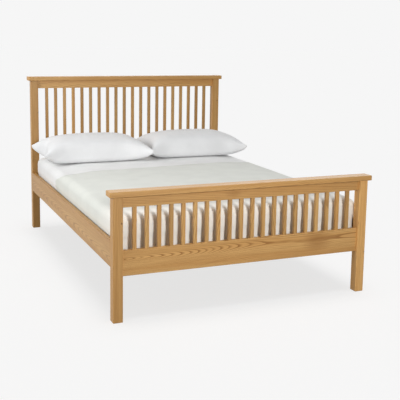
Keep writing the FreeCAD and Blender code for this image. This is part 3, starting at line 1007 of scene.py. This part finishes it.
class BED_OT_add_screws(bpy.types.Operator):
    """Countersunk screws through the slats, the battens and the centre rail's cradles"""
    bl_idname = "bed.add_screws"
    bl_label = "Add the screws"

    def execute(self, context):
        fixings = context.scene.bed_fixings
        head = new_object("screw_head", screw_head_mesh(fixings.head_radius, fixings.recess_width,
                                                        fixings.recess_depth))
        mesh = bpy.data.meshes.new("screw_spots")
        small = 0.01 * MM
        points, faces = [], []
        for place, normal in screw_spots():
            side = normal.orthogonal().normalized() * small
            other = normal.cross(side)
            first = len(points)
            points += [place + side, place - side * 0.5 + other * 0.87, place - side * 0.5 - other * 0.87]
            faces.append((first, first + 1, first + 2))
        mesh.from_pydata(points, [], faces)
        source = new_object("screw_spots", mesh)
        modifier = source.modifiers.new("screws", "NODES")
        modifier.node_group = screw_tree()
        set_input(modifier, "Screw", head)
        set_input(modifier, "Seed", 4)
        set_input(modifier, "Finish", bpy.data.materials["zinc_plate"])
        screws = settle(source, "base_screws")
        bpy.data.objects.remove(head)
        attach(screws, "bed_frame")
        return {"FINISHED"}


# ---- operators: bedding

class BED_OT_add_mattress(bpy.types.Operator):
    """The mattress in its ticking, as far out as the sheets over it let it show"""
    bl_idname = "bed.add_mattress"
    bl_label = "Add the mattress"

    def execute(self, context):
        bedding = context.scene.bed_bedding
        mesh = Wrap(columns=44, rows=62, outset=0.0).build("mattress_cover", tuck=0.4, closed=True)
        ticking = cotton_material("ticking", bedding.ticking, thread=0.9 * MM)
        mattress = new_object("mattress_cover", mesh, ticking)
        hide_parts("mattress")
        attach(mattress, "mattress")
        return {"FINISHED"}


class BED_OT_add_fitted_sheet(bpy.types.Operator):
    """A white fitted sheet, stretched over the mattress and turned in under it"""
    bl_idname = "bed.add_fitted_sheet"
    bl_label = "Add the fitted sheet"

    def execute(self, context):
        bedding = context.scene.bed_bedding
        mesh = Wrap(columns=54, rows=76, outset=1.0 * MM).build("fitted_sheet", tuck=0.09)
        ripple_cloth(mesh, 0.6 * MM, seed=2.0)
        sheet = cloth_object("fitted_sheet", mesh, cotton_material("sheet_cotton", bedding.sheet))
        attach(sheet, "mattress")
        return {"FINISHED"}


COVER_GIVE = 450 * MM       # how far from its head edge the top sheet is pulled out of square
COVER_DROP = 62 * MM        # from the mattress's top to where the edge has run out to its full flare


class BED_OT_add_top_sheet(bpy.types.Operator):
    """An ivory sheet laid over the bed from the foot, tucked in at the foot and along both sides"""
    bl_idname = "bed.add_top_sheet"
    bl_label = "Add the top sheet"

    def execute(self, context):
        bedding = context.scene.bed_bedding
        wrap = Wrap(columns=64, rows=96, outset=2.6 * MM, sink=0.8 * MM)
        mesh = wrap.build("top_sheet", tuck=0.05)
        edge = bedding.cover_edge
        shape = bmesh.new()
        shape.from_mesh(mesh)
        beyond = [face for face in shape.faces if face.calc_center_median().y > edge]
        bmesh.ops.delete(shape, geom=beyond, context="FACES")
        last_row = max(vertex.co.y for vertex in shape.verts)
        top = MATTRESS_HIGH.z - MATTRESS_CROWN
        for vertex in shape.verts:
            near = smoothstep(1 - (last_row - vertex.co.y) / COVER_GIVE)
            flare = bedding.cover_flare * smoothstep((top - vertex.co.z) / COVER_DROP)
            vertex.co.y += near * (edge - last_row + bedding.cover_skew * vertex.co.x + flare)
        shape.to_mesh(mesh)
        shape.free()
        ripple_cloth(mesh, 1.1 * MM, seed=11.0, scale=7.0)
        # the foot colour is painted light: a brighter, warmer foot end for the light past the foot board and
        # its bounce off the oak
        cotton = cotton_material("cover_cotton", bedding.cover, foot=bedding.cover_foot)
        sheet = cloth_object("top_sheet", mesh, cotton)
        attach(sheet, "mattress")
        return {"FINISHED"}


PILLOW_GRID = (62, 42)      # columns and rows of a pillow's panels
FILL_FRAMES = 60
EASING_PASSES = 36


class BED_OT_add_pillows(bpy.types.Operator):
    """Two plump pillows in plain cases with a sewn edge"""
    bl_idname = "bed.add_pillows"
    bl_label = "Add the pillows"

    def execute(self, context):
        bedding = context.scene.bed_bedding
        material = cotton_material("pillow_cotton", bedding.pillowcase, crease=0.8 * MM)
        half = (bedding.pillow_width / 2, bedding.pillow_depth / 2)
        for side, seed in (("left", 1.0), ("right", 6.0)):
            low, high = (corner.copy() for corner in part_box("pillow_" + side))
            high.z += bedding.pillow_rise
            if side == "left":
                high.x += bedding.pillow_overlap
            else:
                low.y += bedding.pillow_setback
            columns, rows = PILLOW_GRID
            last_row = rows * (columns + 1)
            corners = (0, columns, last_row, last_row + columns)
            mesh = pillow_panel_shape(columns, rows, *half, bulge=10 * MM)
            filled = stuffed(mesh, bedding.pillow_volume, frames=FILL_FRAMES, seed=seed)
            softened(filled.data, corners, EASING_PASSES)
            plump(filled.data, columns, rows, (2 * half[0], 2 * half[1]), bedding.pillow_fullness)
            fitted_to(filled.data, low, high)
            tip_z = low.z + bedding.corner_height
            places = [Vector((x, y, tip_z)) for y in (low.y, high.y) for x in (low.x, high.x)]
            drawn_out(filled.data, corners, places)
            smooth(filled.data)
            put(filled.modifiers.new("soften", "SUBSURF"), levels=1, render_levels=1)
            pillow = settle(filled, "pillow_case_" + side)
            pillow.data.materials.append(material)
            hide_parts("pillow_" + side)
            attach(pillow, "pillow_" + side)
        return {"FINISHED"}


# ---- stage

FLOOR_TONE = 0.3175         # the floor's own tone against the backdrop's, for the lamps' light on it
FLOOR_LIT_SHARE = 0.195     # how much of the floor's look comes from that light
FLOOR_BOUNCE = 0.05         # the glow that the floor lends to the bed
FLOOR_REACH = 60
SENSOR_WIDTH = 36
SUN_DISTANCE = 6


def shown(graph):
    """1 to the camera and in mirrors and glass, 0 where only light is gathered."""
    direct = graph.node("LightPath", output="Is Camera Ray")
    return direct.most(direct.other("Is Glossy Ray")).most(direct.other("Is Transmission Ray"))


def floor_material(backdrop):
    """Plain floor: a steady glow for the camera and for mirrors, and a diffuse part for shadows."""
    paint = Paint("floor")
    seen = shown(paint)
    strength = seen * (1 - FLOOR_LIT_SHARE) + (1 - seen) * FLOOR_BOUNCE
    glow = paint.node("Emission", inputs={"Color": paint.tinted(backdrop), "Strength": strength})
    matt = paint.node("BsdfDiffuse", inputs={"Color": paint.tinted([FLOOR_TONE * c for c in backdrop])})
    both = paint.node("AddShader", inputs={0: glow, 1: matt})
    behind = paint.node("NewGeometry", output="Backfacing")
    shader = paint.node("MixShader", inputs={0: behind, 1: both, 2: paint.node("BsdfTransparent")})
    paint.node("OutputMaterial", inputs={"Surface": shader})
    return paint.material


def add_world(backdrop, dome):
    """The backdrop where it is seen, and a weaker white dome for light."""
    world = bpy.data.worlds.new("studio")
    bpy.context.scene.world = world
    world.use_nodes = True
    graph = Graph(world.node_tree)
    light = graph.node("Background", inputs={"Color": (1, 1, 1, 1), "Strength": dome})
    plain = graph.node("Background", inputs={"Color": (*backdrop, 1)})
    both = graph.node("MixShader", inputs={0: shown(graph), 1: light, 2: plain})
    graph.node("OutputWorld", inputs={"Surface": both})


def aim_lamp(name, lamp, towards, floor=None, floor_rule="EXCLUDE", shows=True):
    """Places a lamp out along a direction and turns it to the bed.

    The rule says if it lights the floor, and shows if its glint is seen on the lacquer.
    """
    made = new_object(name, lamp)
    put(made, location=towards, rotation_mode="QUATERNION",
        rotation_quaternion=towards.to_track_quat("Z", "Y"), visible_glossy=shows)
    if floor is not None:
        group = bpy.data.collections.new(name + "_link")
        group.objects.link(floor)
        group.collection_objects[0].light_linking.link_state = floor_rule
        made.light_linking.receiver_collection = group


def direction(turn, rise):
    """The direction at an angle to the right of the head's and an angle above level."""
    return Vector((math.sin(turn) * math.cos(rise), math.cos(turn) * math.cos(rise), math.sin(rise)))


def add_sun(name, strength, heading, elevation, spread, floor=None, floor_rule="EXCLUDE"):
    """A distant lamp: heading is its turn to the right of the foot."""
    lamp = bpy.data.lights.new(name, "SUN")
    put(lamp, energy=strength, angle=math.radians(spread))
    towards = direction(math.radians(180 - heading), math.radians(elevation))
    aim_lamp(name, lamp, towards * SUN_DISTANCE, floor, floor_rule)


def add_panel(name, power, place, width, height, floor, shows=True):
    """A wide panel of light that stands near the bed, so that it fades across it."""
    lamp = bpy.data.lights.new(name, "AREA")
    put(lamp, shape="RECTANGLE", size=width, size_y=height, energy=power)
    aim_lamp(name, lamp, Vector(place), floor, shows=shows)


def add_camera(stage):
    heading, roll = math.radians(stage.camera_heading), math.radians(stage.camera_roll)
    forward = direction(heading, -math.radians(stage.camera_tilt))
    right = Vector((math.cos(heading), -math.sin(heading), 0))
    up = right.cross(forward)
    across = math.cos(roll) * right + math.sin(roll) * up
    upward = math.cos(roll) * up - math.sin(roll) * right
    lens = bpy.data.cameras.new("camera")
    put(lens, lens=stage.camera_lens, sensor_width=SENSOR_WIDTH, shift_y=stage.camera_shift, clip_end=200)
    camera = new_object("camera", lens)
    turned = Matrix((across, upward, -forward)).transposed().to_4x4()
    camera.matrix_world = Matrix.Translation(stage.camera_place) @ turned
    bpy.context.scene.camera = camera


class BED_OT_set_stage(bpy.types.Operator):
    """Plain pale floor, soft studio light and the camera"""
    bl_idname = "bed.set_stage"
    bl_label = "Set the stage"

    def execute(self, context):
        stage = context.scene.bed_stage
        floor = square("floor", FLOOR_REACH)
        floor.data.materials.append(floor_material(stage.backdrop))
        add_world(stage.backdrop, stage.dome)
        add_panel("front_lamp", stage.front_lamp, (-0.2, -3.5, 1.35), 0.4, 0.4, floor)
        add_panel("left_lamp", stage.left_lamp, (-3.7, -0.45, 1.9), 2.8, 2.0, floor, shows=False)
        add_sun("top_lamp", stage.top_lamp, heading=0, elevation=84, spread=50)
        add_sun("back_lamp", stage.back_lamp, heading=152, elevation=26, spread=60, floor=floor)
        add_sun("right_lamp", stage.right_lamp, heading=98, elevation=20, spread=60, floor=floor)
        add_sun("floor_lamp", stage.floor_lamp, 0, 90, spread=30, floor=floor, floor_rule="INCLUDE")
        add_camera(stage)
        context.scene.view_settings.view_transform = "Standard"
        return {"FINISHED"}


# ---- panel and registration

OPERATORS = (BED_OT_finish_boards, BED_OT_finish_spindles, BED_OT_finish_side_rails, BED_OT_finish_base,
             BED_OT_finish_fixings, BED_OT_add_screws, BED_OT_add_mattress, BED_OT_add_fitted_sheet,
             BED_OT_add_top_sheet, BED_OT_add_pillows, BED_OT_set_stage)
SETTINGS = (("bed_timber", TimberSettings), ("bed_fixings", FixingSettings),
            ("bed_bedding", BeddingSettings), ("bed_stage", StageSettings))


class BED_PT_steps(bpy.types.Panel):
    """The steps that dress the bed"""
    bl_label = "Bed"
    bl_idname = "BED_PT_steps"
    bl_space_type = "VIEW_3D"
    bl_region_type = "UI"
    bl_category = "Bed"

    def draw(self, context):
        for operator in OPERATORS:
            self.layout.operator(operator.bl_idname)
        for name, group in SETTINGS:
            box = self.layout.box()
            for key in group.__annotations__:
                box.prop(getattr(context.scene, name), key)


def register():
    for name, group in SETTINGS:
        bpy.utils.register_class(group)
        setattr(bpy.types.Scene, name, PointerProperty(type=group))
    for operator in OPERATORS:
        bpy.utils.register_class(operator)
    bpy.utils.register_class(BED_PT_steps)


def unregister():
    bpy.utils.unregister_class(BED_PT_steps)
    for operator in reversed(OPERATORS):
        bpy.utils.unregister_class(operator)
    for name, group in reversed(SETTINGS):
        delattr(bpy.types.Scene, name)
        bpy.utils.unregister_class(group)


def main():
    register()
    for operator in OPERATORS:
        folder, name = operator.bl_idname.split(".")
        getattr(getattr(bpy.ops, folder), name)()


if __name__ == "__main__":
    main()
